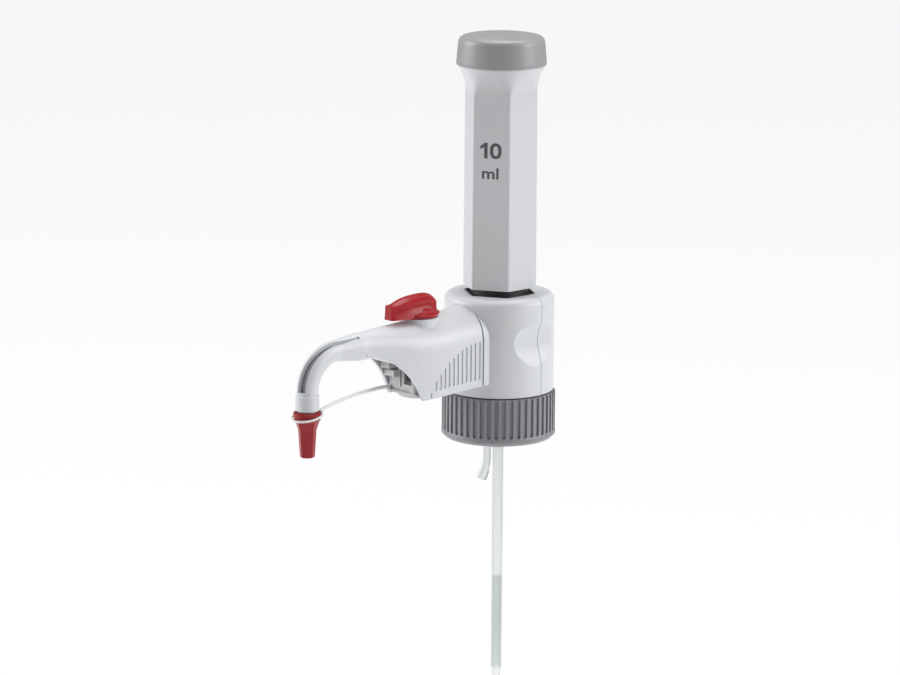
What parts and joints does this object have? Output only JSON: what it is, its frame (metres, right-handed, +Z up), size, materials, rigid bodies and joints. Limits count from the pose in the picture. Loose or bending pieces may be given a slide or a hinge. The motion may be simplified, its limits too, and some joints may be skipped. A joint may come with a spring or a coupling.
{
  "type": "bottle-top dispenser",
  "caption": "Hand-operated bottle-top dispenser with a screw collar, lifting pump sleeve, curved discharge arm, valve lever, strapped spout cap and telescoping filling tube.",
  "frame": {"origin": "centre of the screw collar's open bottom face, where the bottle's thread enters", "axes": "+Z up along the pump's axis; -X along the discharge arm; -Y is the side with the marked panels"},
  "size_m": [0.1534, 0.0542, 0.3919],
  "materials": {
    "white_plastic": "satin moulded",
    "grey_plastic": "fine matt",
    "dark_plastic": "matt",
    "block_plastic": "satin",
    "red_plastic": "semi-gloss",
    "glass": "polished",
    "clear_plastic": "clear",
    "rod_plastic": "satin",
    "fluoropolymer": "waxy",
    "ceramic": "polished",
    "tube_plastic": "translucent",
    "grey_tube": "satin",
    "strap_plastic": "translucent satin"
  },
  "bodies": {
    "collar": {"thread_collar": "grey_plastic"},
    "pump_body": {"valve_block": "block_plastic", "housing_front_shell": "white_plastic", "housing_rear_shell": "white_plastic", "guide_ring": "dark_plastic", "glass_cylinder": "glass", "cylinder_jacket": "clear_plastic", "fill_valve_body": "fluoropolymer", "fill_valve_seal": "fluoropolymer", "fill_tube_upper": "tube_plastic", "return_tube": "tube_plastic", "discharge_valve_body": "block_plastic", "valve_housing": "block_plastic", "return_line": "tube_plastic", "vent_cap": "block_plastic", "valve_bracket": "block_plastic", "arm_cover": "white_plastic", "arm_floor": "white_plastic", "discharge_tube": "grey_tube", "tip_ferrule": "white_plastic", "cap_strap": "strap_plastic", "strap_anchor": "strap_plastic"},
    "lifter": {"lift_sleeve": "white_plastic", "piston_rod": "rod_plastic", "piston_head": "fluoropolymer", "piston_seal": "fluoropolymer"},
    "sleeve_cap": {"top_cap": "grey_plastic"},
    "stroke_nut": {"calibration_nut": "block_plastic"},
    "valve_turner": {"valve_plug": "fluoropolymer", "valve_lever": "red_plastic"},
    "strap_loop": {"strap_ring": "strap_plastic"},
    "nozzle_cap": {"spout_cap": "red_plastic"},
    "lower_tube": {"fill_tube_lower": "tube_plastic"},
    "fill_check": {"fill_ball": "ceramic"},
    "discharge_check": {"discharge_ball": "ceramic"}
  },
  "joints": [
    {"name": "block_swivel", "type": "hinge", "parent": "collar", "child": "pump_body", "pos_m": [0, 0, 0.015], "axis": [0, 0, 1], "continuous": true},
    {"name": "sleeve_lift", "type": "slide", "parent": "pump_body", "child": "lifter", "axis": [0, 0, 1], "range_m": [0, 0.042]},
    {"name": "cap_pull", "type": "slide", "parent": "lifter", "child": "sleeve_cap", "axis": [0, 0, 1], "range_m": [0, 0.016]},
    {"name": "stroke_setting", "type": "hinge", "parent": "lifter", "child": "stroke_nut", "pos_m": [0, 0, 0.17], "axis": [0, 0, 1], "range_deg": [-180, 180]},
    {"name": "lever_turn", "type": "hinge", "parent": "pump_body", "child": "valve_turner", "pos_m": [-0.051, 0, 0.0552], "axis": [0, 0, 1], "range_deg": [0, 90]},
    {"name": "cap_travel", "type": "slide", "parent": "pump_body", "child": "strap_loop", "axis": [0, 0, -1], "range_m": [0, 0.0064], "deforming": ["cap_strap"]},
    {"name": "cap_unscrew", "type": "hinge", "parent": "strap_loop", "child": "nozzle_cap", "pos_m": [-0.119, 0, 0.02], "axis": [0, 0, -1], "range_deg": [0, 720]},
    {"name": "tube_extend", "type": "slide", "parent": "pump_body", "child": "lower_tube", "axis": [0, 0, -1], "range_m": [-0.07, 0.035]},
    {"name": "fill_check_lift", "type": "slide", "parent": "pump_body", "child": "fill_check", "axis": [0, 0, 1], "range_m": [0, 0.001]},
    {"name": "discharge_check_lift", "type": "slide", "parent": "pump_body", "child": "discharge_check", "axis": [-1, 0, 0], "range_m": [0, 0.001], "stiffness_N_per_m": 2, "springref_m": -0.0005}
  ],
  "couplings": [
    {"joint": "cap_unscrew", "follows": "cap_travel", "rad_per_m": 1963.5}
  ]
}
